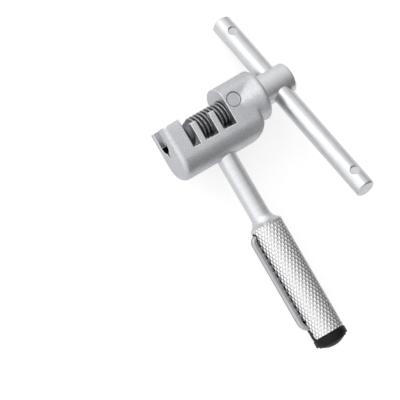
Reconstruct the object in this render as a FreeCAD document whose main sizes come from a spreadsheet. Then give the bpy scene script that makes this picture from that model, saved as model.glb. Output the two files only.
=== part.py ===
import FreeCAD, Part
import os

# Bicycle chain tool, lying on its side.  Millimetres, +Z up.
# The origin is where the drive screw's axis crosses the handle's axis, in the middle of the
# chain cradle.  +X runs along the screw from the anvil to the T-bar, +Y leaves the slot's
# mouth, and the handle points along -Y.

doc = FreeCAD.newDocument("chain_tool")
sheet = doc.addObject("Spreadsheet::Sheet", "dims")

DIMENSIONS = [
    # head
    ("front", 15.1, "anvil's front face, in front of the origin"),
    ("lug_back", 13.7, "back of the lower part"),
    ("crown_back", 17.1, "back of the round top, inside the collar"),
    ("collar_back", 18.0, "back face of the round collar"),
    ("collar_radius", 7.7, "radius of the collar, and of the head's round top"),
    ("half_thick", 5.8, "half the thickness across the flats"),
    ("head_drop", 11.5, "underside of the head below the screw"),
    ("shoulder", 2.6, "rounding between the flats and the round top"),
    ("front_rim", 1.8, "rounding of the front face's rim"),
    ("back_corner", 5.0, "rounding of the lower back corner"),
    ("flare_start", 8.6, "front end of the cone that swells the flats into the collar"),
    ("flare_radius", 5.4, "radius of that cone's front end, inside the flats"),
    ("flare_end", 17.0, "where the cone reaches the collar"),
    ("collar_rim", 0.7, "rounding of the collar's back rim"),
    ("slot_front", 9.5, "anvil's inner wall, in front of the origin"),
    ("slot_back", 5.8, "lug's inner wall, behind the origin"),
    ("slot_floor", 4.3, "slot's floor below the screw's axis"),
    ("anvil_top", 4.9, "flat top of the anvil above the axis"),
    ("tooth_thick", 1.86, "cradle tooth along the screw"),
    ("tooth_top", 2.3, "top of the teeth above the axis"),
    ("tooth_one", 2.6, "first tooth behind the anvil's inner wall"),
    ("tooth_two", 9.0, "second tooth behind the anvil's inner wall"),
    ("tooth_edge", 0.3, "bevel round the top of each tooth"),
    ("bore_radius", 4.05, "tapped bore, at its crests"),
    ("pin_exit", 2.25, "radius of the pin-exit hole in the anvil"),
    ("groove_half", 2.5, "half the width of the anvil's front groove"),
    ("groove_deep", 1.75, "depth of the anvil's front groove"),
    ("slit_top", 1.4, "top of the pointed slit below the axis"),
    ("slit_foot", 3.9, "point of the slit below the axis"),
    ("slit_half", 0.9, "half the width of the slit at its top"),
    ("slit_point", 0.09, "half the width of the slit at its point"),
    ("slit_deep", 5.0, "depth of the slit"),
    ("badge_radius", 2.2, "plain round recess on each flat"),
    ("badge_deep", 0.35, "depth of that recess"),
    ("badge_behind", 8.6, "centre of that recess behind the origin"),
    ("badge_above", 2.0, "centre of that recess above the axis"),
    # drive screw
    ("thread_radius", 4.0, "M8 thread at its crests"),
    ("screw_tip", 7.6, "nose face, in front of the origin"),
    ("nose_long", 3.0, "length of the conical nose"),
    ("nose_radius", 2.6, "radius of the nose face"),
    ("hub_front", 18.2, "front of the hub"),
    ("hub_long", 11.0, "length of the hub"),
    ("hub_radius", 4.65, "radius of the hub"),
    ("hub_rim", 0.7, "rounding of the hub's back rim"),
    ("bar_at", 24.4, "T-bar's axis behind the origin"),
    ("bar_hole", 3.05, "radius of the T-bar's hole in the hub"),
    ("pin_bore", 1.70, "radius of the driver pin's bore in the nose"),
    ("pin_bore_deep", 14.0, "depth of that bore"),
    ("clip_at", 3.2, "snap ring behind the nose face"),
    ("clip_recess", 2.1, "radius of the snap ring's recess"),
    ("clip_space", 0.9, "width of that recess"),
    # driver pin and its snap ring
    ("pin_radius", 1.65, "driver pin"),
    ("pin_out", 2.1, "driver pin's length in front of the nose face"),
    ("pin_long", 15.9, "driver pin's whole length"),
    ("pin_neck", 1.35, "radius of the pin's snap ring groove"),
    ("pin_edge", 0.3, "bevel of the pin's working end"),
    ("clip_ring", 1.7, "radius of the snap ring's centre line"),
    ("clip_wire", 0.3, "radius of the snap ring's wire"),
    ("clip_sweep", 300, "part of a turn that the snap ring covers, degrees"),
    # T-bar
    ("bar_radius", 3.0, "T-bar"),
    ("bar_short", 25.9, "T-bar on the short side of the hub"),
    ("bar_far", 43.3, "T-bar on the long side of the hub"),
    ("bar_turn", 64.4, "T-bar's turn about the screw, degrees from upright"),
    ("bar_edge", 0.35, "bevel of the T-bar's ends"),
    ("stake_in", 5.6, "stake's centre from the end of the bar"),
    ("stake_radius", 1.55, "radius of the stake's dimple"),
    ("stake_floor", 2.45, "dimple's floor from the bar's axis"),
    ("stake_wide", 3.15, "half the bar's width where the stake swells it"),
    ("stake_long", 2.0, "half the length of that swelling"),
    # handle
    ("shank_radius", 3.0, "shank"),
    ("socket_radius", 2.99, "socket in the head, a press fit on the shank"),
    ("shank_top", 7.0, "top of the shank below the screw's axis"),
    ("flare_top", 30.3, "where the shank begins to flare"),
    ("grip_top", 33.5, "top of the knurled grip"),
    ("grip_foot", 69.5, "bottom of the knurled grip"),
    ("grip_radius", 5.0, "grip over the knurling"),
    ("grip_edge", 0.35, "bevel of the grip's bottom rim"),
    ("store_radius", 3.55, "bore that holds the spare pins"),
    ("store_top", 34.6, "top of that bore's straight wall"),
    ("drill_point", 2.1, "height of the drill point above it"),
    ("hook_hole", 1.35, "radius of the upper hook hole"),
    ("hook_slot", 1.05, "half the width of the lower hook slot"),
    ("slot_reach", 7.0, "length of the hook slot"),
    # chain hook
    ("wire_radius", 0.9, "hook wire"),
    ("wire_off", 6.1, "hook wire's centre from the handle's axis"),
    ("leg_upper", 35.5, "upper leg below the screw's axis"),
    ("leg_lower", 65.5, "lower leg below the screw's axis"),
    ("leg_end", 2.2, "ends of the legs from the handle's axis"),
    ("bend_upper", 1.7, "radius of the upper bend"),
    ("bend_lower", 3.0, "radius of the lower bend"),
    # end cap
    ("cap_radius", 5.05, "cap's rim"),
    ("cap_thick", 2.2, "thickness of the rim"),
    ("cap_edge", 0.35, "rounding of the rim"),
    ("step_radius", 4.3, "raised step on the cap's face"),
    ("step_high", 0.45, "height of that step"),
    ("dome_base", 3.8, "radius of the dome's foot"),
    ("dome_high", 1.2, "height of the dome"),
    ("barrel_radius", 3.5, "cap's barrel"),
    ("barrel_bore", 2.2, "hollow in the barrel"),
    ("barrel_long", 6.0, "length of the barrel"),
    ("barrel_solid", 2.8, "length of the barrel below the notches"),
    ("barrel_floor", 0.4, "floor of the hollow above the rim"),
    ("notch_half", 1.0, "half the width of a notch"),
    # spare connecting pins
    ("spare_radius", 1.825, "connecting pin"),
    ("spare_tip", 0.9, "radius of the pin's blunt tip"),
    ("spare_nose", 1.5, "length of the tapered nose"),
    ("spare_guide", 8.5, "guide section, nose included"),
    ("spare_neck", 1.35, "radius of the break-off groove"),
    ("spare_gap", 0.45, "width of the break-off groove"),
    ("spare_long", 16.4, "whole length"),
    ("spare_edge", 0.25, "bevel of the flat end"),
    ("spare_low", 68.8, "tip of the lower pin below the screw's axis"),
    ("spare_high", 52.3, "tip of the upper pin below the screw's axis"),
]
for row, (alias, value, meaning) in enumerate(DIMENSIONS, start=1):
    sheet.set(f"A{row}", str(value))
    sheet.set(f"B{row}", meaning)
    sheet.setAlias(f"A{row}", alias)
doc.recompute()

MARGIN = 1.0  # how far a cutter stands out of the solid that it cuts
THROUGH = 20.0  # length of a cutter that goes right through

TURN = {
    "+Z": FreeCAD.Rotation(),
    "+X": FreeCAD.Rotation(FreeCAD.Vector(0, 1, 0), 90),
    "-X": FreeCAD.Rotation(FreeCAD.Vector(0, 1, 0), -90),
    "-Y": FreeCAD.Rotation(FreeCAD.Vector(1, 0, 0), 90),
}


def bind(item, sizes, place, turn="+Z"):
    """Bind an object's sizes and its base point to formulas of the sheet's aliases."""
    item.Placement = FreeCAD.Placement(FreeCAD.Vector(), TURN[turn])
    for name, formula in sizes.items():
        item.setExpression(name, formula)
    for axis, formula in zip("xyz", place):
        item.setExpression(f"Placement.Base.{axis}", formula)
    return item


def box(name, sizes, place):
    item = doc.addObject("Part::Box", name)
    return bind(item, dict(zip(("Length", "Width", "Height"), sizes)), place)


def cylinder(name, radius, height, place, turn="+Z"):
    item = doc.addObject("Part::Cylinder", name)
    return bind(item, {"Radius": radius, "Height": height}, place, turn)


def cone(name, first, second, height, place, turn="+Z"):
    item = doc.addObject("Part::Cone", name)
    sizes = {"Radius1": first, "Radius2": second, "Height": height}
    return bind(item, sizes, place, turn)


def torus(name, ring, tube, sweep, place, turn="+Z"):
    item = doc.addObject("Part::Torus", name)
    sizes = {"Radius1": ring, "Radius2": tube, "Angle3": sweep}
    return bind(item, sizes, place, turn)


def fuse(name, items):
    item = doc.addObject("Part::MultiFuse", name)
    item.Shapes = items
    item.Refine = True
    doc.recompute()
    return item


def cut(name, base, tools):
    """Cut the tools out of the base, and make sure that they took something away."""
    tool = tools[0] if len(tools) == 1 else fuse(name + "_tools", tools)
    item = doc.addObject("Part::Cut", name)
    item.Base = base
    item.Tool = tool
    doc.recompute()
    if item.Shape.isNull() or item.Shape.Volume > base.Shape.Volume - 1e-4:
        raise RuntimeError(f"{name} cuts nothing")
    return item


def soften(kind, name, base, size, chosen):
    """Round (Part::Fillet) or bevel (Part::Chamfer) the edges that chosen() accepts."""
    doc.recompute()
    item = doc.addObject(kind, name)
    item.Base = base
    amount = float(sheet.get(size))
    edges = enumerate(base.Shape.Edges, start=1)
    item.Edges = [(number, amount, amount) for number, edge in edges if chosen(edge)]
    doc.recompute()
    return item


def round_edge_at(axis, level, radius=None):
    """Accept edges that lie in the plane axis = level and, if given, have that radius."""
    def accepts(edge):
        low, high = getattr(edge.BoundBox, axis + "Min"), getattr(edge.BoundBox, axis + "Max")
        flat = abs(low - level) < 1e-3 and abs(high - level) < 1e-3
        if radius is None or not flat:
            return flat
        return hasattr(edge.Curve, "Radius") and abs(edge.Curve.Radius - radius) < 1e-3
    return accepts


def size(alias):
    return float(sheet.get(alias))


def is_shoulder(edge):
    """Accept the two edges where the head's flats meet its round top."""
    bounds = edge.BoundBox
    lengthwise = bounds.XLength > 2 * size("lug_back") and bounds.ZLength < 1e-3
    return lengthwise and bounds.YMin > 0 and abs(bounds.ZMin) > 0.9 * size("half_thick")


def make_head():
    """Flat-sided head: round top and underside, slot with a toothed cradle, back collar."""
    length = "dims.front + dims.lug_back"
    crown_long = "dims.front + dims.crown_back"
    crown = cylinder("head_crown", "dims.collar_radius", crown_long, ("-dims.front", "0", "0"), "+X")
    slab = box("head_slab", (crown_long, "dims.collar_radius", "2 * dims.half_thick"),
               ("-dims.front", "0", "-dims.half_thick"))
    upper = doc.addObject("Part::MultiCommon", "head_upper")
    upper.Shapes = [crown, slab]
    middle = box("head_middle",
                 (length, "dims.head_drop - dims.half_thick", "2 * dims.half_thick"),
                 ("-dims.front", "dims.half_thick - dims.head_drop", "-dims.half_thick"))
    under = cylinder("head_under", "dims.half_thick", length,
                     ("-dims.front", "dims.half_thick - dims.head_drop", "0"), "+X")
    blank = fuse("head_blank", [upper, middle, under])
    eased = soften("Part::Fillet", "head_eased", blank, "shoulder", is_shoulder)
    rimmed = soften("Part::Fillet", "head_rimmed", eased, "front_rim",
                    round_edge_at("X", -size("front")))

    corner = box("corner_block",
                 (f"dims.back_corner + {MARGIN}", f"dims.back_corner + {MARGIN}", f"{THROUGH}"),
                 ("dims.lug_back - dims.back_corner",
                  f"-dims.head_drop - {MARGIN}", f"{-THROUGH / 2}"))
    keep = cylinder("corner_round", "dims.back_corner", f"{THROUGH}",
                    ("dims.lug_back - dims.back_corner",
                     "dims.back_corner - dims.head_drop", f"{-THROUGH / 2}"))
    trimmed = cut("head_trimmed", rimmed, [cut("corner_waste", corner, [keep])])

    flare = cone("collar_flare", "dims.flare_radius", "dims.collar_radius",
                 "dims.flare_end - dims.flare_start", ("dims.flare_start", "0", "0"), "+X")
    collar = cylinder("collar", "dims.collar_radius", "dims.collar_back - dims.flare_end",
                      ("dims.flare_end", "0", "0"), "+X")
    rounded = soften("Part::Fillet", "collar_rounded", collar, "collar_rim",
                     round_edge_at("X", size("collar_back"), size("collar_radius")))
    solid = fuse("head_solid", [trimmed, flare, rounded])

    slot = box("slot_space",
               ("dims.slot_front + dims.slot_back", f"{THROUGH}", f"{THROUGH}"),
               ("-dims.slot_front", "-dims.slot_floor", f"{-THROUGH / 2}"))
    anvil_cut = box("anvil_top_cut",
                    (f"dims.front - dims.slot_front + {2 * MARGIN}", f"{THROUGH}", f"{THROUGH}"),
                    (f"-dims.front - {MARGIN}", "dims.anvil_top", f"{-THROUGH / 2}"))
    slotted = cut("head_slotted", solid, [slot, anvil_cut])

    teeth = []
    for which in ("one", "two"):
        block = box(f"tooth_{which}_block",
                    ("dims.tooth_thick", f"dims.tooth_top + dims.slot_floor + {MARGIN}",
                     "2 * dims.half_thick"),
                    (f"dims.tooth_{which} - dims.slot_front",
                     f"-dims.slot_floor - {MARGIN}", "-dims.half_thick"))
        teeth.append(soften("Part::Chamfer", f"tooth_{which}", block, "tooth_edge",
                            round_edge_at("Y", size("tooth_top"))))
    toothed = fuse("head_toothed", [slotted] + teeth)

    channel_long = "dims.slot_front + dims.slot_back"
    channel = cylinder("screw_channel", "dims.bore_radius", channel_long,
                       ("-dims.slot_front", "0", "0"), "+X")
    channel_top = box("screw_channel_top",
                      (channel_long, f"{THROUGH}", "2 * dims.bore_radius"),
                      ("-dims.slot_front", "0", "-dims.bore_radius"))
    tapped = cylinder("tapped_bore", "dims.bore_radius",
                      f"dims.collar_back - dims.slot_back + {2 * MARGIN}",
                      (f"dims.slot_back - {MARGIN}", "0", "0"), "+X")
    pin_exit = cylinder("pin_exit_hole", "dims.pin_exit",
                        f"dims.front - dims.slot_front + {2 * MARGIN}",
                        (f"-dims.front - {MARGIN}", "0", "0"), "+X")
    groove = box("front_groove",
                 (f"dims.groove_deep + {MARGIN}", f"{THROUGH}", "2 * dims.groove_half"),
                 (f"-dims.front - {MARGIN}", "0", "-dims.groove_half"))
    slit = doc.addObject("Part::Wedge", "front_slit")
    for name, formula in {
        "Xmin": f"-dims.front - {MARGIN}", "X2min": f"-dims.front - {MARGIN}",
        "Xmax": "dims.slit_deep - dims.front", "X2max": "dims.slit_deep - dims.front",
        "Ymin": "-dims.slit_foot", "Ymax": "-dims.slit_top",
        "Zmin": "-dims.slit_point", "Zmax": "dims.slit_point",
        "Z2min": "-dims.slit_half", "Z2max": "dims.slit_half",
    }.items():
        slit.setExpression(name, formula)
    socket = cylinder("handle_socket", "dims.socket_radius",
                      f"dims.head_drop - dims.shank_top + {MARGIN}",
                      ("0", "-dims.shank_top", "0"), "-Y")
    badges = [
        cylinder(f"badge_{side}", "dims.badge_radius", f"dims.badge_deep + {MARGIN}",
                 ("dims.badge_behind", "dims.badge_above", level))
        for side, level in (("upper", "dims.half_thick - dims.badge_deep"),
                            ("lower", f"-dims.half_thick - {MARGIN}"))
    ]
    cutters = [channel, channel_top, tapped, pin_exit, groove, slit, socket]
    return cut("head", cut("head_marked", toothed, badges), cutters)


def make_drive_screw():
    """M8 screw with a conical nose, a cross-drilled hub and a bore for the driver pin."""
    nose = cone("screw_nose", "dims.nose_radius", "dims.thread_radius", "dims.nose_long",
                ("-dims.screw_tip", "0", "0"), "+X")
    shaft = cylinder("screw_shaft", "dims.thread_radius",
                     "dims.screw_tip - dims.nose_long + dims.hub_front",
                     ("dims.nose_long - dims.screw_tip", "0", "0"), "+X")
    hub = cylinder("hub_blank", "dims.hub_radius", "dims.hub_long",
                   ("dims.hub_front", "0", "0"), "+X")
    hub_round = soften("Part::Fillet", "hub_rounded", hub, "hub_rim",
                       round_edge_at("X", size("hub_front") + size("hub_long")))
    blank = fuse("screw_blank", [nose, shaft, hub_round])
    bar_hole = cylinder("hub_cross_hole", "dims.bar_hole", f"{THROUGH}",
                        ("dims.bar_at", "0", f"{-THROUGH / 2}"))
    bar_hole.Placement = FreeCAD.Placement()
    bar_hole.setExpression("Placement.Base.y", f"{THROUGH / 2} * sin(dims.bar_turn * 1 deg)")
    bar_hole.setExpression("Placement.Base.z", f"-{THROUGH / 2} * cos(dims.bar_turn * 1 deg)")
    bar_hole.Placement.Rotation = FreeCAD.Rotation(FreeCAD.Vector(1, 0, 0), size("bar_turn"))
    pin_bore = cylinder("driver_bore", "dims.pin_bore", "dims.pin_bore_deep",
                        ("-dims.screw_tip", "0", "0"), "+X")
    recess = cylinder("clip_recess_space", "dims.clip_recess", "dims.clip_space",
                      ("dims.clip_at - dims.screw_tip - dims.clip_space / 2", "0", "0"), "+X")
    return cut("screw", blank, [bar_hole, pin_bore, recess])


def make_driver_pin():
    """Hardened pin in the screw's nose, with a groove for its snap ring."""
    start = "-dims.screw_tip - dims.pin_out"
    rod = cylinder("pin_rod", "dims.pin_radius", "dims.pin_long", (start, "0", "0"), "+X")
    tip = soften("Part::Chamfer", "pin_tipped", rod, "pin_edge",
                 round_edge_at("X", -size("screw_tip") - size("pin_out")))
    middle = "dims.clip_at - dims.screw_tip - dims.clip_space / 2"
    outer = cylinder("pin_groove_outer", "2 * dims.pin_radius", "dims.clip_space",
                     (middle, "0", "0"), "+X")
    inner = cylinder("pin_groove_inner", "dims.pin_neck", "dims.clip_space",
                     (middle, "0", "0"), "+X")
    return cut("pin", tip, [cut("pin_groove", outer, [inner])])


def make_pin_clip():
    """Open snap ring that sits in the driver pin's groove."""
    return torus("clip", "dims.clip_ring", "dims.clip_wire", "dims.clip_sweep",
                 ("dims.clip_at - dims.screw_tip", "0", "0"), "+X")


def make_t_bar():
    """Sliding bar, made along its own +Z and turned about the screw; +Y faces the stakes."""
    rod = cylinder("bar_rod", "dims.bar_radius", "dims.bar_short + dims.bar_far",
                   ("0", "0", "-dims.bar_short"))
    ends = soften("Part::Chamfer", "bar_ends", rod, "bar_edge",
                  lambda edge: hasattr(edge.Curve, "Radius"))
    swellings, dimples = [], []
    for end, level in (("short", "dims.stake_in - dims.bar_short"),
                       ("far", "dims.bar_far - dims.stake_in")):
        swelling = doc.addObject("Part::Ellipsoid", f"swelling_{end}")
        sizes = {"Radius1": "dims.stake_long", "Radius2": "dims.stake_wide",
                 "Radius3": "dims.bar_radius / 2"}
        swellings.append(bind(swelling, sizes, ("0", "0", level)))
        dimple = cylinder(f"dimple_{end}", "dims.stake_radius", "dims.bar_radius",
                          ("0", "dims.stake_floor + dims.bar_radius", level), "-Y")
        dimples.append(dimple)
    bar = cut("bar", fuse("bar_swollen", [ends] + swellings), dimples)
    turned = FreeCAD.Rotation(FreeCAD.Vector(1, 0, 0), size("bar_turn"))
    bar.Placement = FreeCAD.Placement(FreeCAD.Vector(), turned)
    bar.setExpression("Placement.Base.x", "dims.bar_at")
    return bar


def make_handle():
    """Turned shank that flares into a hollow grip with a hook hole and a hook slot."""
    shank = cylinder("shank", "dims.shank_radius", "dims.grip_top - dims.shank_top",
                     ("0", "-dims.shank_top", "0"), "-Y")
    flare_long = "(dims.grip_top - dims.flare_top)"
    step = "(dims.grip_radius - dims.shank_radius)"
    hollow = f"(({flare_long} ^ 2 + {step} ^ 2) / (2 * {step}))"
    flare_block = cylinder("flare_block", "dims.grip_radius", flare_long,
                           ("0", "-dims.flare_top", "0"), "-Y")
    flare_ring = torus("flare_ring", f"dims.shank_radius + {hollow}", hollow, "360",
                       ("0", "-dims.flare_top", "0"), "-Y")
    flare = cut("flare", flare_block, [flare_ring])
    grip = cylinder("grip", "dims.grip_radius", "dims.grip_foot - dims.grip_top",
                    ("0", "-dims.grip_top", "0"), "-Y")
    grip_rim = soften("Part::Chamfer", "grip_rim", grip, "grip_edge",
                      round_edge_at("Y", -size("grip_foot")))
    blank = fuse("handle_blank", [shank, flare, grip_rim])
    store = cylinder("pin_store", "dims.store_radius",
                     f"dims.grip_foot - dims.store_top + {MARGIN}",
                     ("0", "-dims.store_top", "0"), "-Y")
    drill = cone("drill_end", "0", "dims.store_radius", "dims.drill_point",
                 ("0", "dims.drill_point - dims.store_top", "0"), "-Y")
    hole = cylinder("upper_hook_hole", "dims.hook_hole", "2 * dims.grip_radius",
                    ("0", "-dims.leg_upper", "0"), "-X")
    slot_round = cylinder("hook_slot_end", "dims.hook_slot", "2 * dims.grip_radius",
                          ("0", "dims.slot_reach - dims.hook_slot - dims.grip_foot", "0"), "-X")
    slot_box = box("hook_slot_gap",
                   ("2 * dims.grip_radius", f"dims.slot_reach - dims.hook_slot + {MARGIN}",
                    "2 * dims.hook_slot"),
                   ("-2 * dims.grip_radius", f"-dims.grip_foot - {MARGIN}", "-dims.hook_slot"))
    return cut("handle_part", blank, [store, drill, hole, slot_round, slot_box])


def make_chain_hook():
    """Bent wire: two legs that point at the handle's axis, joined by a straight back."""
    legs = []
    for end, bend in (("upper", "dims.bend_upper"), ("lower", "dims.bend_lower")):
        legs.append(cylinder(f"leg_{end}_wire", "dims.wire_radius",
                             f"dims.wire_off - {bend} - dims.leg_end",
                             ("-dims.leg_end", f"-dims.leg_{end}", "0"), "-X"))
    back = cylinder("back_wire", "dims.wire_radius",
                    "dims.leg_lower - dims.bend_lower - dims.leg_upper - dims.bend_upper",
                    ("-dims.wire_off", "-dims.leg_upper - dims.bend_upper", "0"), "-Y")
    upper = torus("upper_bend_wire", "dims.bend_upper", "dims.wire_radius", "90",
                  ("dims.bend_upper - dims.wire_off", "-dims.leg_upper - dims.bend_upper", "0"))
    upper.Placement.Rotation = FreeCAD.Rotation(FreeCAD.Vector(0, 0, 1), 90)
    lower = torus("lower_bend_wire", "dims.bend_lower", "dims.wire_radius", "90",
                  ("dims.bend_lower - dims.wire_off", "dims.bend_lower - dims.leg_lower", "0"))
    lower.Placement.Rotation = FreeCAD.Rotation(FreeCAD.Vector(0, 0, 1), 180)
    return fuse("hook", legs + [back, upper, lower])


def make_end_cap():
    """Plug with a stepped, domed face and a hollow barrel that is notched into prongs."""
    rim = cylinder("cap_rim", "dims.cap_radius", "dims.cap_thick",
                   ("0", "-dims.grip_foot", "0"), "-Y")
    rim_round = soften("Part::Fillet", "cap_rim_rounded", rim, "cap_edge",
                       lambda edge: hasattr(edge.Curve, "Radius"))
    face = "-dims.grip_foot - dims.cap_thick"
    step = cylinder("cap_step", "dims.step_radius", "dims.step_high", ("0", face, "0"), "-Y")
    ball_radius = "((dims.dome_base ^ 2 + dims.dome_high ^ 2) / (2 * dims.dome_high))"
    ball = doc.addObject("Part::Sphere", "cap_ball")
    bind(ball, {"Radius": ball_radius},
         ("0", f"{face} - dims.step_high - dims.dome_high + {ball_radius}", "0"))
    dome_block = cylinder("cap_dome_block", "dims.dome_base", "dims.dome_high",
                          ("0", f"{face} - dims.step_high", "0"), "-Y")
    dome = doc.addObject("Part::MultiCommon", "cap_dome")
    dome.Shapes = [ball, dome_block]
    barrel = cylinder("cap_barrel", "dims.barrel_radius", "dims.barrel_long",
                      ("0", "dims.barrel_long - dims.grip_foot", "0"), "-Y")
    blank = fuse("cap_blank", [rim_round, step, dome, barrel])
    hollow = cylinder("cap_hollow", "dims.barrel_bore",
                      f"dims.barrel_long - dims.barrel_floor + {MARGIN}",
                      ("0", f"dims.barrel_long - dims.grip_foot + {MARGIN}", "0"), "-Y")
    notch_high = f"dims.barrel_long - dims.barrel_solid + {MARGIN}"
    notch_foot = "dims.barrel_solid - dims.grip_foot"
    across = f"2 * dims.barrel_radius + {2 * MARGIN}"
    start = f"-dims.barrel_radius - {MARGIN}"
    notches = [
        box("notch_x", (across, notch_high, "2 * dims.notch_half"),
            (start, notch_foot, "-dims.notch_half")),
        box("notch_z", ("2 * dims.notch_half", notch_high, across),
            ("-dims.notch_half", notch_foot, start)),
    ]
    return cut("cap", blank, [hollow] + notches)


def make_connecting_pin(which, low):
    """Spare chain pin: guide with a tapered nose, break-off groove and rivet section."""
    nose = cone(f"spare_{which}_nose", "dims.spare_radius", "dims.spare_tip",
                "dims.spare_nose", ("0", f"dims.spare_nose - {low}", "0"), "-Y")
    guide = cylinder(f"spare_{which}_guide", "dims.spare_radius",
                     "dims.spare_guide - dims.spare_nose",
                     ("0", f"dims.spare_guide - {low}", "0"), "-Y")
    neck = cylinder(f"spare_{which}_neck", "dims.spare_neck", "dims.spare_gap",
                    ("0", f"dims.spare_guide + dims.spare_gap - {low}", "0"), "-Y")
    rivet = cylinder(f"spare_{which}_rivet", "dims.spare_radius",
                     "dims.spare_long - dims.spare_guide - dims.spare_gap",
                     ("0", f"dims.spare_long - {low}", "0"), "-Y")
    doc.recompute()
    top = rivet.Shape.BoundBox.YMax
    rivet_end = soften("Part::Chamfer", f"spare_{which}_end", rivet, "spare_edge",
                       round_edge_at("Y", top))
    return fuse(f"spare_{which}", [nose, guide, neck, rivet_end])


doc.recompute()
nodes = {
    "head_body": make_head(),
    "drive_screw": make_drive_screw(),
    "driver_pin": make_driver_pin(),
    "pin_clip": make_pin_clip(),
    "t_bar": make_t_bar(),
    "handle": make_handle(),
    "chain_hook": make_chain_hook(),
    "end_cap": make_end_cap(),
    "connecting_pin_1": make_connecting_pin("low", "dims.spare_low"),
    "connecting_pin_2": make_connecting_pin("high", "dims.spare_high"),
}
doc.recompute()
for name, item in nodes.items():
    item.Label = name

for item in doc.Objects:
    if "Invalid" in item.State or "Error" in item.State:
        raise RuntimeError(f"{item.Name} failed: {item.State}")
for name, item in nodes.items():
    shape = item.Shape
    if shape.isNull() or not shape.isValid() or len(shape.Solids) != 1:
        raise RuntimeError(f"{name} is not one valid solid")

os.makedirs("parts", exist_ok=True)
for name, item in nodes.items():
    item.Shape.exportStep(f"parts/{name}.step")
    print(f"{name}: {item.Shape.Volume:.1f} mm3, {item.Shape.BoundBox}")
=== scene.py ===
import math

import bmesh
import bpy
from mathutils import Matrix, Vector


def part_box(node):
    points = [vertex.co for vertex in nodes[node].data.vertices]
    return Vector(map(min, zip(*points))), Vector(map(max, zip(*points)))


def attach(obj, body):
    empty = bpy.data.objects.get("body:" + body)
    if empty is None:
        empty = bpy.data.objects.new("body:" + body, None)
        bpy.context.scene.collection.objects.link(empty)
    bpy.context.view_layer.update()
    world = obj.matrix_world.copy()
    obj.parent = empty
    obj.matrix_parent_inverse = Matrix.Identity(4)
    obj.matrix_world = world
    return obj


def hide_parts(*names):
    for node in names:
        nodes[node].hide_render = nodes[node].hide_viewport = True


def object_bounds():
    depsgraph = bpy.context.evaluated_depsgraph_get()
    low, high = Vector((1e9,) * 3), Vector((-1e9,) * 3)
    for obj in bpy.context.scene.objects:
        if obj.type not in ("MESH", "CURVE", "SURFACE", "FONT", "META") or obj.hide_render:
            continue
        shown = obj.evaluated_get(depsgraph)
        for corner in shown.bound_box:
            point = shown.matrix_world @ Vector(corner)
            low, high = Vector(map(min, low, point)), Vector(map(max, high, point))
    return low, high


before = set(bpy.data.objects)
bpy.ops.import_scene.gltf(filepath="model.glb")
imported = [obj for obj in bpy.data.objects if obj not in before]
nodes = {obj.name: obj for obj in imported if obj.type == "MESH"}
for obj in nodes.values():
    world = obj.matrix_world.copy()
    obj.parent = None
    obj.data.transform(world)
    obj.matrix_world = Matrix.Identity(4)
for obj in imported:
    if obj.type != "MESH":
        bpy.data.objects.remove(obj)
cad_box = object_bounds()

# A bicycle chain tool lying on its side on a pale sheet.  Metres, in the CAD frame: +X runs
# along the drive screw to the T-bar, -Y down the handle, +Z up.
MM = 0.001


# ---------------------------------------------------------------- mesh helpers

def new_object(name, mesh):
    item = bpy.data.objects.new(name, mesh)
    bpy.context.scene.collection.objects.link(item)
    return item


def shade(item, degrees):
    """Smooth shading, with creases where faces meet at more than that angle."""
    item.data.shade_smooth()
    item.data.set_sharp_from_angle(angle=math.radians(degrees))


def revolve(name, rows, columns, place):
    """Closed skin through rings.  rows is a list of (distance along the axis, radius), where a
    radius is a number or a function of the ring's angle, and the first and last are poles."""
    vertices, rings, faces = [], [], []
    for along, radius in rows:
        if radius == 0:
            rings.append([len(vertices)] * columns)
            vertices.append(place(along, 0.0, 0.0))
            continue
        rings.append([len(vertices) + column for column in range(columns)])
        for column in range(columns):
            angle = 2 * math.pi * column / columns
            size = radius(angle) if callable(radius) else radius
            vertices.append(place(along, size * math.cos(angle), size * math.sin(angle)))
    for lower, upper in zip(rings, rings[1:]):
        for column in range(columns):
            after = (column + 1) % columns
            corners = [lower[column], lower[after], upper[after], upper[column]]
            corners = list(dict.fromkeys(corners))
            if len(corners) > 2:
                faces.append(corners)
    mesh = bpy.data.meshes.new(name)
    mesh.from_pydata([Vector(v) * MM for v in vertices], [], faces)
    solid = bmesh.new()
    solid.from_mesh(mesh)
    bmesh.ops.recalc_face_normals(solid, faces=solid.faces)
    solid.to_mesh(mesh)
    solid.free()
    return new_object(name, mesh)


def cutter(name, radius, start, end, sides=64):
    """A round bar from start to end, in millimetres, for cutting a hole."""
    line = Vector(end) - Vector(start)
    mesh = bpy.data.meshes.new(name)
    solid = bmesh.new()
    bmesh.ops.create_cone(solid, cap_ends=True, segments=sides, radius1=radius * MM,
                          radius2=radius * MM, depth=line.length * MM)
    turn = Vector((0, 0, 1)).rotation_difference(line).to_matrix().to_4x4()
    middle = (Vector(start) + Vector(end)) / 2 * MM
    solid.transform(Matrix.Translation(middle) @ turn)
    solid.to_mesh(mesh)
    solid.free()
    return new_object(name, mesh)


def block(name, low, high):
    """A box between two corners, in millimetres, for cutting a slot."""
    mesh = bpy.data.meshes.new(name)
    solid = bmesh.new()
    bmesh.ops.create_cube(solid, size=1.0)
    spans = [(b - a) * MM for a, b in zip(low, high)]
    middle = [(a + b) / 2 * MM for a, b in zip(low, high)]
    solid.transform(Matrix.Translation(middle) @ Matrix.Diagonal(spans + [1.0]))
    solid.to_mesh(mesh)
    solid.free()
    return new_object(name, mesh)


def carve(item, tools):
    """Cut the tools out of the item, and remove them."""
    for tool in tools:
        cut = item.modifiers.new("cut", "BOOLEAN")
        cut.operation = "DIFFERENCE"
        cut.solver = "EXACT"
        cut.object = tool
    bpy.context.view_layer.update()
    carved = bpy.data.meshes.new_from_object(
        item.evaluated_get(bpy.context.evaluated_depsgraph_get()))
    item.modifiers.clear()
    item.data = carved
    for tool in tools:
        bpy.data.objects.remove(tool)


# ---------------------------------------------------------------- material helpers

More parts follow.
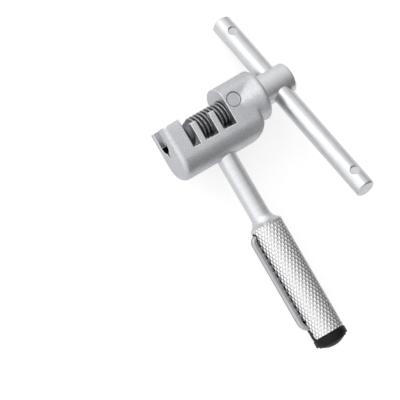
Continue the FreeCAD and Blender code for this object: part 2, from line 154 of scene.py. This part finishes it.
def node(tree, kind, inputs=None, **settings):
    made = tree.nodes.new(kind)
    for name, value in settings.items():
        setattr(made, name, value)
    for name, value in (inputs or {}).items():
        if isinstance(value, bpy.types.NodeSocket):
            tree.links.new(value, made.inputs[name])
        else:
            made.inputs[name].default_value = value
    return made


def blank_material(name):
    material = bpy.data.materials.new(name)
    material.use_nodes = True
    tree = material.node_tree
    shader = tree.nodes["Principled BSDF"]
    return material, tree, shader


def noise(tree, point, scale, detail=3.0, rough=0.55):
    made = node(tree, "ShaderNodeTexNoise", {
        "Vector": point, "Scale": scale, "Detail": detail, "Roughness": rough})
    return made.outputs["Fac"]


def stretched(tree, point, factors):
    made = node(tree, "ShaderNodeMapping", {"Vector": point, "Scale": factors})
    return made.outputs["Vector"]


def ramp(tree, factor, stops):
    """Colour ramp; stops is a list of (place, grey or colour)."""
    made = node(tree, "ShaderNodeValToRGB", {"Fac": factor})
    elements = made.color_ramp.elements
    while len(elements) < len(stops):
        elements.new(0.5)
    for element, (place, colour) in zip(elements, stops):
        element.position = place
        rgb = colour if isinstance(colour, tuple) else (colour, colour, colour)
        element.color = (*rgb, 1.0)
    return made.outputs["Color"]


def remap(tree, value, low, high, to_low, to_high):
    made = node(tree, "ShaderNodeMapRange", {
        "Value": value, "From Min": low, "From Max": high, "To Min": to_low, "To Max": to_high})
    return made.outputs["Result"]


def mix_colour(tree, factor, first, second):
    made = node(tree, "ShaderNodeMix", {"Factor": factor}, data_type="RGBA")
    for socket, value in ((made.inputs["A"], first), (made.inputs["B"], second)):
        socket = [s for s in made.inputs if s.name == socket.name and s.type == "RGBA"][0]
        if isinstance(value, bpy.types.NodeSocket):
            tree.links.new(value, socket)
        else:
            socket.default_value = (*value, 1.0)
    return [s for s in made.outputs if s.type == "RGBA"][0]


def mix_value(tree, factor, first, second):
    made = node(tree, "ShaderNodeMix", {"Factor": factor}, data_type="FLOAT")
    for name, value in (("A", first), ("B", second)):
        socket = [s for s in made.inputs if s.name == name and s.type == "VALUE"][0]
        if isinstance(value, bpy.types.NodeSocket):
            tree.links.new(value, socket)
        else:
            socket.default_value = value
    return [s for s in made.outputs if s.type == "VALUE"][0]


def maths(tree, operation, first, second=0.0):
    made = node(tree, "ShaderNodeMath", {0: first, 1: second}, operation=operation)
    return made.outputs[0]


def near(tree, value, middle, reach):
    """1 where the value is within reach of the middle."""
    made = node(tree, "ShaderNodeMath", {0: value, 1: middle, 2: reach}, operation="COMPARE")
    return made.outputs[0]


def bump(tree, height, distance, strength=1.0, edge_radius=0.0):
    """Bumped normal, over edges that look rounded by edge_radius if it is given."""
    made = node(tree, "ShaderNodeBump", {
        "Height": height, "Distance": distance, "Strength": strength})
    if edge_radius:
        soft = node(tree, "ShaderNodeBevel", {"Radius": edge_radius}, samples=6)
        tree.links.new(soft.outputs["Normal"], made.inputs["Normal"])
    return made.outputs["Normal"]


def painted_crevice_shade(tree, reach, colour, shade_colour):
    """The colour, darkened to painted shade in corners and gaps narrower than about reach."""
    made = node(tree, "ShaderNodeAmbientOcclusion", {"Distance": reach}, samples=8)
    shut = remap(tree, made.outputs["AO"], 0.75, 0.25, 0.0, 1.0)
    return mix_colour(tree, shut, colour, shade_colour)


def place_of(tree):
    return node(tree, "ShaderNodeTexCoord").outputs["Object"]


def split(tree, vector):
    made = node(tree, "ShaderNodeSeparateXYZ", {"Vector": vector})
    return made.outputs["X"], made.outputs["Y"], made.outputs["Z"]


def squared(tree, first, second):
    """Squared distance from an axis, from the two coordinates across it."""
    return maths(tree, "ADD", maths(tree, "MULTIPLY", first, first),
                 maths(tree, "MULTIPLY", second, second))


def edge_mask(tree, radius):
    """White along sharp edges, from how far a bevelled normal leaves the true one."""
    soft = node(tree, "ShaderNodeBevel", {"Radius": radius}, samples=6).outputs["Normal"]
    true = node(tree, "ShaderNodeNewGeometry").outputs["Normal"]
    dot = node(tree, "ShaderNodeVectorMath", {0: soft, 1: true}, operation="DOT_PRODUCT")
    return remap(tree, dot.outputs["Value"], 0.995, 0.90, 0.0, 1.0)


# ---------------------------------------------------------------- materials

# Places on the head, in millimetres.
ANVIL_FRONT = -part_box("head_body")[0].x / MM
ANVIL_WALL = 9.6
SKIN = 0.05  # the anvil's two faces stay out of the painted shade in its holes by this much
# The pin's exit hole and the slit below it, which are painted near-black for the shade inside
# them:
PIN_EXIT = 2.27
SLIT_HALF = 0.92
SLIT_MIDDLE = -2.6  # the slit runs from just below the hole to its point
SLIT_REACH = 1.4
BADGE_RADIUS = 2.15
BADGE_LINE = 0.17  # half the width of the painted shade at the recess's foot
BADGE_BEHIND = 8.6
BADGE_ABOVE = 2.0
FLATS = 5.3  # just inside the flat sides' distance from the middle
EDGE_ROUNDING = 0.36
FLARE_ROUNDING = 1.7  # softer where the flats swell into the collar
FLARE_FROM = 9.2
FLARE_FULL = 11.2


def blasted_nickel():
    """Satin nickel over a blasted casting, with bright worn edges, painted shade in corners and
    gaps and at the badge recess's foot, and the pin's exit hole and slit painted near-black for
    the shade inside them.
    """
    material, tree, shader = blank_material("blasted_nickel")
    point = place_of(tree)
    cloud = noise(tree, point, 260.0, 4.0)
    grain = noise(tree, point, 2600.0, 2.0, 0.6)
    fine = noise(tree, point, 4200.0, 2.0, 0.6)
    edge = edge_mask(tree, 0.40 * MM)
    base = ramp(tree, cloud, [(0.30, (0.66, 0.665, 0.69)), (0.70, (0.74, 0.745, 0.77))])
    speckled = mix_colour(tree, remap(tree, grain, 0.40, 0.60, 0.0, 0.6), base,
                          (0.50, 0.505, 0.535))
    x, y, z = split(tree, point)
    # painted shade: masks for the pin's exit hole and slit inside the anvil
    in_hole = maths(tree, "LESS_THAN", squared(tree, y, z), (PIN_EXIT * MM) ** 2)
    beside_slit = maths(tree, "LESS_THAN", maths(tree, "ABSOLUTE", z), SLIT_HALF * MM)
    along_slit = near(tree, y, SLIT_MIDDLE * MM, SLIT_REACH * MM)
    in_slit = maths(tree, "MULTIPLY", beside_slit, along_slit)
    in_anvil = near(tree, x, -(ANVIL_FRONT + ANVIL_WALL) / 2 * MM,
                    ((ANVIL_FRONT - ANVIL_WALL) / 2 - SKIN) * MM)
    dark = maths(tree, "MULTIPLY", maths(tree, "MAXIMUM", in_hole, in_slit), in_anvil)
    lightened = mix_colour(tree, edge, speckled, (1.0, 1.0, 1.0))
    from_badge = node(tree, "ShaderNodeVectorMath", {
        0: stretched(tree, point, (1.0, 1.0, 0.0)), 1: (BADGE_BEHIND * MM, BADGE_ABOVE * MM, 0.0),
    }, operation="DISTANCE").outputs["Value"]
    # painted shade: a dark ring at the foot of the badge recess
    badge_foot_shade = maths(tree, "MULTIPLY",
                       near(tree, from_badge, BADGE_RADIUS * MM, BADGE_LINE * MM),
                       maths(tree, "GREATER_THAN", maths(tree, "ABSOLUTE", z), FLATS * MM))
    ring_shaded = mix_colour(tree, maths(tree, "MULTIPLY", badge_foot_shade, 0.75), lightened,
                       (0.12, 0.12, 0.135))
    # painted shade in corners and gaps
    corner_shaded = painted_crevice_shade(tree, 1.1 * MM, ring_shaded, (0.12, 0.12, 0.13))
    # painted shade: near-black inside the pin's exit hole and slit
    tree.links.new(mix_colour(tree, dark, corner_shaded, (0.012, 0.012, 0.014)),
                   shader.inputs["Base Color"])
    dull = remap(tree, fine, 0.3, 0.7, 0.36, 0.47)
    tree.links.new(mix_value(tree, edge, dull, 0.24), shader.inputs["Roughness"])
    shader.inputs["Metallic"].default_value = 1.0
    height = mix_value(tree, 0.4, grain, fine)
    rounding = remap(tree, x, FLARE_FROM * MM, FLARE_FULL * MM,
                     EDGE_ROUNDING * MM, FLARE_ROUNDING * MM)
    tree.links.new(bump(tree, height, 0.07 * MM, 0.8, rounding), shader.inputs["Normal"])
    return material


def drawn_metal(name, colour, dark, rough, along, turn=0.0):
    """Plated bar or wire with drawing lines.  turn is about +X, and along squeezes the
    pattern on each axis after it, so that the lines run where the number is small."""
    material, tree, shader = blank_material(name)
    point = place_of(tree)
    turned = node(tree, "ShaderNodeMapping", {"Vector": point, "Rotation": (turn, 0.0, 0.0)})
    laid = stretched(tree, turned.outputs["Vector"], along)
    lines = noise(tree, laid, 2300.0, 4.0, 0.65)
    bands = noise(tree, laid, 800.0, 2.0)
    cloud = noise(tree, point, 320.0, 3.0)
    tint = mix_colour(tree, remap(tree, cloud, 0.32, 0.55, 0.25, 0.0), colour, dark)
    striped = mix_colour(tree, remap(tree, bands, 0.42, 0.62, 0.0, 0.35), tint, dark)
    streaked = mix_colour(tree, remap(tree, lines, 0.42, 0.68, 0.0, 0.45), striped, dark)
    # painted shade in corners and gaps
    tree.links.new(painted_crevice_shade(tree, 0.9 * MM, streaked, (0.12, 0.12, 0.13)),
                   shader.inputs["Base Color"])
    tree.links.new(remap(tree, lines, 0.3, 0.7, rough - 0.05, rough + 0.07),
                   shader.inputs["Roughness"])
    shader.inputs["Metallic"].default_value = 1.0
    tree.links.new(bump(tree, lines, 0.010 * MM, 0.5, 0.15 * MM), shader.inputs["Normal"])
    return material


def screw_metal(hub_front):
    """Thread darker in its valleys and lighter on its crests, with painted shade in corners and
    gaps, and a satin nickel hub behind it.
    """
    material, tree, shader = blank_material("screw_metal")
    point = place_of(tree)
    x, y, z = split(tree, point)
    radius = maths(tree, "SQRT", squared(tree, y, z))
    crest = remap(tree, radius, CREST_FOOT * MM, CREST_TOP * MM, 0.0, 1.0)
    smear = noise(tree, point, 900.0, 4.0)
    lightened = maths(tree, "MULTIPLY", crest, remap(tree, smear, 0.3, 0.6, 0.35, 1.0))
    thread = mix_colour(tree, lightened, (0.17, 0.172, 0.18), (0.58, 0.585, 0.60))
    rings = noise(tree, stretched(tree, point, (1.0, 0.05, 0.05)), 5200.0, 2.0)
    hub = ramp(tree, rings, [(0.3, (0.70, 0.705, 0.72)), (0.7, (0.80, 0.805, 0.82))])
    is_hub = maths(tree, "GREATER_THAN", x, hub_front - 0.05 * MM)
    plain = mix_colour(tree, is_hub, thread, hub)
    # painted shade in corners and gaps
    tree.links.new(painted_crevice_shade(tree, 1.0 * MM, plain, (0.06, 0.06, 0.065)),
                   shader.inputs["Base Color"])
    thread_rough = mix_value(tree, lightened, 0.42, 0.24)
    hub_rough = remap(tree, rings, 0.3, 0.7, 0.27, 0.36)
    tree.links.new(mix_value(tree, is_hub, thread_rough, hub_rough),
                   shader.inputs["Roughness"])
    shader.inputs["Metallic"].default_value = 1.0
    height = mix_value(tree, is_hub, smear, rings)
    tree.links.new(bump(tree, height, 0.006 * MM, 0.4), shader.inputs["Normal"])
    return material


def handle_metal(grip_top):
    """Finely turned shank and a knurled grip, darker in its valleys and lighter on its peaks,
    with painted shade in corners and gaps.
    """
    material, tree, shader = blank_material("handle_metal")
    point = place_of(tree)
    x, y, z = split(tree, point)
    radius = maths(tree, "SQRT", squared(tree, x, z))
    peak = remap(tree, radius, PEAK_FOOT * MM, PEAK_TOP * MM, 0.0, 1.0)
    is_grip = maths(tree, "LESS_THAN", y, -grip_top)
    outside = maths(tree, "GREATER_THAN", radius, INSIDE_KNURL * MM)
    knurled = maths(tree, "MULTIPLY", is_grip, outside)
    brushed = noise(tree, stretched(tree, point, (0.04, 1.0, 0.04)), 5200.0, 3.0, 0.65)
    speck = noise(tree, point, 2100.0, 3.0, 0.7)
    shank = ramp(tree, brushed, [(0.30, (0.66, 0.665, 0.685)), (0.70, (0.80, 0.805, 0.82))])
    lighter_on_peaks = mix_value(tree, 0.15, peak, speck)
    grip = mix_colour(tree, lighter_on_peaks, (0.42, 0.422, 0.435), (1.0, 1.0, 1.0))
    plain = mix_colour(tree, knurled, shank, grip)
    # painted shade in corners and gaps
    tree.links.new(painted_crevice_shade(tree, 0.6 * MM, plain, (0.10, 0.10, 0.11)),
                   shader.inputs["Base Color"])
    shank_rough = remap(tree, brushed, 0.3, 0.7, 0.30, 0.42)
    tree.links.new(mix_value(tree, knurled, shank_rough, 0.28), shader.inputs["Roughness"])
    shader.inputs["Metallic"].default_value = 1.0
    height = mix_value(tree, knurled, brushed, speck)
    tree.links.new(bump(tree, height, 0.008 * MM, 0.45), shader.inputs["Normal"])
    return material


def black_plastic():
    """Moulded black plastic with a fine spark-eroded texture."""
    material, tree, shader = blank_material("black_plastic")
    point = place_of(tree)
    texture = noise(tree, point, 3000.0, 4.0, 0.65)
    dust = noise(tree, point, 700.0, 5.0, 0.6)
    colour = ramp(tree, dust, [(0.35, (0.003, 0.004, 0.004)), (0.75, (0.009, 0.011, 0.011))])
    tree.links.new(colour, shader.inputs["Base Color"])
    shader.inputs["Specular IOR Level"].default_value = 0.2
    tree.links.new(remap(tree, texture, 0.3, 0.7, 0.34, 0.52), shader.inputs["Roughness"])
    tree.links.new(bump(tree, texture, 0.012 * MM, 0.5), shader.inputs["Normal"])
    return material


def paper():
    """The pale sheet that the tool lies on."""
    material, tree, shader = blank_material("paper")
    fibre = noise(tree, place_of(tree), 900.0, 4.0)
    seen = node(tree, "ShaderNodeLightPath").outputs["Is Camera Ray"]
    tree.links.new(mix_colour(tree, seen, (0.38, 0.38, 0.39),
                              ramp(tree, fibre, [(0.2, 0.72), (0.8, 0.75)])),
                   shader.inputs["Base Color"])
    shader.inputs["Roughness"].default_value = 0.9
    shader.inputs["Specular IOR Level"].default_value = 0.1
    shader.inputs["Emission Color"].default_value = (1.0, 1.0, 1.0, 1.0)
    shader.inputs["Emission Strength"].default_value = 0.50
    return material


# ---------------------------------------------------------------- drive screw

PITCH = 1.25
THREAD_RADIUS = 4.0
THREAD_DEPTH = 0.72
THREAD_START = -4.5  # where a crest crosses the screw's +Z side
CREST_FLAT = 0.14  # shares of half a pitch: the flat crest, and the flank beside it
FLANK = 0.66
ROUNDED = 0.35  # how much of the flank's slope is an S-curve, not a straight line
RUNOUT_GAP = 0.6  # plain stretch between the thread's end and the hub
CREST_FOOT = 3.72  # radii between which the thread goes from its darker valley tone to its lighter crest tone
CREST_TOP = 3.97
ROWS_PER_TURN = 16
SCREW_SIDES = 96
NOSE_RADIUS = 2.6
NOSE_LONG = 3.0
PIN_BORE = 1.70
PIN_BORE_DEEP = 14.0
HUB_FRONT = 18.2
HUB_BEVEL = 0.15
HUB_RIM = 0.7
HUB_RIM_STEPS = 8
HOLE_REACH = 10  # how far the cross hole's cutter goes each way
BAR_HOLE = 3.05
BAR_TURN = math.radians(64.4)
screw_low, screw_high = (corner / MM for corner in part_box("drive_screw"))
hub_radius = screw_high.z
bar_at = (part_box("t_bar")[0].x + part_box("t_bar")[1].x) / 2 / MM


def thread_radius(along, angle):
    """Radius of the screw's skin: a rounded 60 degree thread, clipped by the nose's cone and
    running out before the hub."""
    turn = (along - THREAD_START) / PITCH - (angle - math.pi / 2) / (2 * math.pi)
    from_crest = abs(turn - round(turn)) * 2
    slope = min(max((from_crest - CREST_FLAT) / FLANK, 0.0), 1.0)
    valley = slope * slope * (3 - 2 * slope) * ROUNDED + slope * (1 - ROUNDED)
    runout = min(max((HUB_FRONT - RUNOUT_GAP - along) / PITCH, 0.0), 1.0)
    crest = THREAD_RADIUS - THREAD_DEPTH * valley * runout
    cone = NOSE_RADIUS + (THREAD_RADIUS - NOSE_RADIUS) * (along - screw_low.x) / NOSE_LONG
    return min(crest, cone)


def make_screw():
    """The drive screw: bore for the driver pin, nose, helical thread and cross-drilled hub."""
    rows = [(screw_low.x + PIN_BORE_DEEP, 0), (screw_low.x + PIN_BORE_DEEP, PIN_BORE),
            (screw_low.x, PIN_BORE)]
    count = math.ceil((HUB_FRONT - screw_low.x) / PITCH * ROWS_PER_TURN)
    for step in range(count + 1):
        along = screw_low.x + (HUB_FRONT - screw_low.x) * step / count
        rows.append((along, lambda angle, along=along: thread_radius(along, angle)))
    rows += [(HUB_FRONT, hub_radius - HUB_BEVEL), (HUB_FRONT + HUB_BEVEL, hub_radius)]
    for step in range(HUB_RIM_STEPS + 1):
        lean = math.pi / 2 * step / HUB_RIM_STEPS
        rows.append((screw_high.x - HUB_RIM * (1 - math.sin(lean)),
                     hub_radius - HUB_RIM * (1 - math.cos(lean))))
    rows += [(screw_high.x, 0)]
    screw = revolve("screw_threaded", rows, SCREW_SIDES, lambda a, b, c: (a, b, c))
    way = Vector((0, -math.sin(BAR_TURN), math.cos(BAR_TURN))) * HOLE_REACH
    middle = Vector((bar_at, 0, 0))
    carve(screw, [cutter("bar_hole", BAR_HOLE, middle - way, middle + way)])
    shade(screw, 35)
    screw.data.materials.append(screw_metal(HUB_FRONT * MM))
    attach(screw, "drive_screw")
    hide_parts("drive_screw")


# ---------------------------------------------------------------- handle

SHANK_RADIUS = 3.0
GRIP_RADIUS = 5.0
FLARE_TOP = 30.3
FLARE_STEPS = 12
GRIP_TOP = 33.5
GRIP_EDGE = 0.35
STORE_RADIUS = 3.55
STORE_TOP = 34.6
DRILL_POINT = 2.1
KNURL_STARTS = 27
KNURL_SPLIT = 2  # mesh squares from a valley crossing to the next peak
KNURL_DEPTH = 0.26
KNURL_FLAT = 0.62  # height of the peaks' blunt tops, as a share of a full pyramid
KNURL_SLANT = math.radians(30)
KNURL_LEAD = 0.25  # plain band between the flare and the knurling
PEAK_FOOT = 4.76  # radii between which the knurling goes from its darker valley tone to its lighter peak tone
PEAK_TOP = 4.92
INSIDE_KNURL = 4.55  # inside this radius nothing is knurled
HOOK_HOLE = 1.35
HOOK_SLOT = 1.05
SLOT_REACH = 7.0
UPPER_LEG = 35.5
CUT_FROM = -1  # the hook's cutters run along X from inside the bore to outside the grip
CUT_TO = -9
CUT_BELOW = 1  # and past the grip's foot by this much
handle_low, handle_high = (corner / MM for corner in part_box("handle"))
grip_foot = -handle_low.y
shank_top = -handle_high.y


def zigzag(value):
    """0 at whole numbers, 1 half way between them."""
    return 1 - abs(2 * (value % 1.0) - 1)


def knurl(step, angle):
    """Radius of the diamond knurling; step counts half diamonds down the grip."""
    around = KNURL_STARTS * angle / (2 * math.pi)
    height = min(zigzag(around + step / 2), zigzag(around - step / 2), KNURL_FLAT)
    return GRIP_RADIUS - KNURL_DEPTH * (1 - height / KNURL_FLAT)


def make_handle():
    """The handle: shank, hollow-curved flare, knurled grip and the bore for the spare pins."""
    swell = GRIP_RADIUS - SHANK_RADIUS
    hollow = ((GRIP_TOP - FLARE_TOP) ** 2 + swell ** 2) / (2 * swell)
    rows = [(shank_top, 0), (shank_top, SHANK_RADIUS), (FLARE_TOP, SHANK_RADIUS)]
    for step in range(1, FLARE_STEPS + 1):
        down = (GRIP_TOP - FLARE_TOP) * step / FLARE_STEPS
        rows.append((FLARE_TOP + down,
                     SHANK_RADIUS + hollow - math.sqrt(hollow ** 2 - down ** 2)))
    half_diamond = math.pi * GRIP_RADIUS / KNURL_STARTS / math.tan(KNURL_SLANT)
    top = GRIP_TOP + KNURL_LEAD
    foot = grip_foot - GRIP_EDGE
    count = KNURL_SPLIT * round((foot - top) / half_diamond)
    for row in range(count + 1):
        step = row / KNURL_SPLIT
        rows.append((top + (foot - top) * row / count,
                     lambda angle, step=step: knurl(step, angle)))
    rows += [(grip_foot, GRIP_RADIUS - GRIP_EDGE), (grip_foot, STORE_RADIUS),
             (STORE_TOP, STORE_RADIUS), (STORE_TOP - DRILL_POINT, 0)]
    columns = 2 * KNURL_STARTS * KNURL_SPLIT
    handle = revolve("handle_knurled", rows, columns, lambda a, b, c: (b, -a, c))
    slot_end = SLOT_REACH - HOOK_SLOT - grip_foot
    carve(handle, [
        cutter("hook_hole", HOOK_HOLE, (CUT_FROM, -UPPER_LEG, 0), (CUT_TO, -UPPER_LEG, 0)),
        cutter("hook_slot_end", HOOK_SLOT, (CUT_FROM, slot_end, 0), (CUT_TO, slot_end, 0)),
        block("hook_slot_gap", (CUT_TO, -grip_foot - CUT_BELOW, -HOOK_SLOT),
              (CUT_FROM, slot_end, HOOK_SLOT)),
    ])
    shade(handle, 25)
    handle.data.materials.append(handle_metal(GRIP_TOP * MM))
    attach(handle, "head")
    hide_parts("handle")


# ---------------------------------------------------------------- CAD nodes' finishes

def finish_nodes():
    """Give every CAD node that stays visible its own finish."""
    plated = drawn_metal("plated_bar", (0.78, 0.785, 0.80), (0.56, 0.565, 0.585), 0.30,
                         (1.0, 1.0, 0.05), -BAR_TURN)
    wire = drawn_metal("hook_wire", (0.52, 0.525, 0.54), (0.36, 0.365, 0.38), 0.20,
                       (1.0, 0.05, 1.0))
    gunmetal = drawn_metal("gunmetal", (0.15, 0.15, 0.16), (0.09, 0.09, 0.10), 0.36,
                           (0.08, 1.0, 0.08))
    ground = drawn_metal("ground_steel", (0.42, 0.42, 0.43), (0.30, 0.30, 0.31), 0.25,
                         (1.0, 0.08, 0.08))
    looks = {
        "head_body": blasted_nickel(),
        "t_bar": plated,
        "chain_hook": wire,
        "end_cap": black_plastic(),
        "connecting_pin_1": gunmetal,
        "connecting_pin_2": gunmetal,
        "driver_pin": ground,
        "pin_clip": ground,
    }
    for name, material in looks.items():
        item = nodes[name]
        item.data.materials.clear()
        item.data.materials.append(material)


# ---------------------------------------------------------------- stage, light and camera

FLOOR_REACH = 3.0
FLOOR_GAP = 0.02 * MM


def make_stage():
    """A wide flat sheet just under the tool's lowest point."""
    mesh = bpy.data.meshes.new("floor")
    level = cad_box[0][2] - FLOOR_GAP
    corners = [(-FLOOR_REACH, -FLOOR_REACH, level), (FLOOR_REACH, -FLOOR_REACH, level),
               (FLOOR_REACH, FLOOR_REACH, level), (-FLOOR_REACH, FLOOR_REACH, level)]
    mesh.from_pydata(corners, [], [(0, 1, 2, 3)])
    floor = new_object("floor", mesh)
    mesh.materials.append(paper())


def area_light(name, at, aim, side, power):
    """A square light that the camera doesn't see."""
    light = bpy.data.lights.new(name, "AREA")
    light.shape = "SQUARE"
    light.size = side
    light.energy = power
    item = new_object(name, light)
    item.location = at
    item.visible_camera = False
    item.rotation_euler = (Vector(aim) - Vector(at)).to_track_quat("-Z", "Y").to_euler()


def make_lights():
    """A pale studio sky, brighter towards +Y and -X, a soft key and a small glow on the
    anvil."""
    world = bpy.data.worlds.new("studio")
    bpy.context.scene.world = world
    world.use_nodes = True
    tree = world.node_tree
    sky = tree.nodes["Background"]
    way = node(tree, "ShaderNodeTexCoord").outputs["Generated"]
    x, y, _ = split(tree, way)
    lean = maths(tree, "ADD", maths(tree, "MULTIPLY", y, 0.6), maths(tree, "MULTIPLY", x, -0.8))
    tree.links.new(ramp(tree, remap(tree, lean, -1.0, 1.0, 0.0, 1.0),
                        [(0.10, 0.13), (0.24, 0.25), (0.36, 0.43), (0.60, 0.64), (0.85, 0.86)]),
                   sky.inputs["Color"])
    sky.inputs["Strength"].default_value = 1.5
    area_light("key", (-0.35, 0.45, 0.55), (0, -0.02, 0), 0.4, 0.5)
    area_light("anvil_glow", (0.012, 0.010, 0.060), (-0.012, 0.002, 0.006), 0.020, 0.0015)


RIGHT = Vector((0.806, -0.505, 0.331))
UP = Vector((0.454, 0.863, 0.187))
TOWARDS = RIGHT.cross(UP).normalized()
VIEW_RIGHT = -1.89 * MM  # the view's middle, to the right of the origin and above it
VIEW_UP = -21.99 * MM
FRAME_WIDE = 114.4 * MM  # what the view spans at the origin's depth
CAMERA_FAR = 1.2
SENSOR = 36.0


def make_camera():
    """Looks down on the head's flat side; the origin stands right of and above the middle."""
    up = TOWARDS.cross(RIGHT).normalized()
    right = up.cross(TOWARDS)
    centre = VIEW_RIGHT * right + VIEW_UP * up
    data = bpy.data.cameras.new("camera")
    data.sensor_width = SENSOR
    data.lens = SENSOR * CAMERA_FAR / FRAME_WIDE
    camera = new_object("camera", data)
    turn = Matrix((right, up, TOWARDS)).transposed().to_4x4()
    camera.matrix_world = Matrix.Translation(centre + TOWARDS * CAMERA_FAR) @ turn
    bpy.context.scene.camera = camera


make_screw()
make_handle()
finish_nodes()
make_stage()
make_lights()
make_camera()
bpy.context.scene.view_settings.view_transform = "Standard"
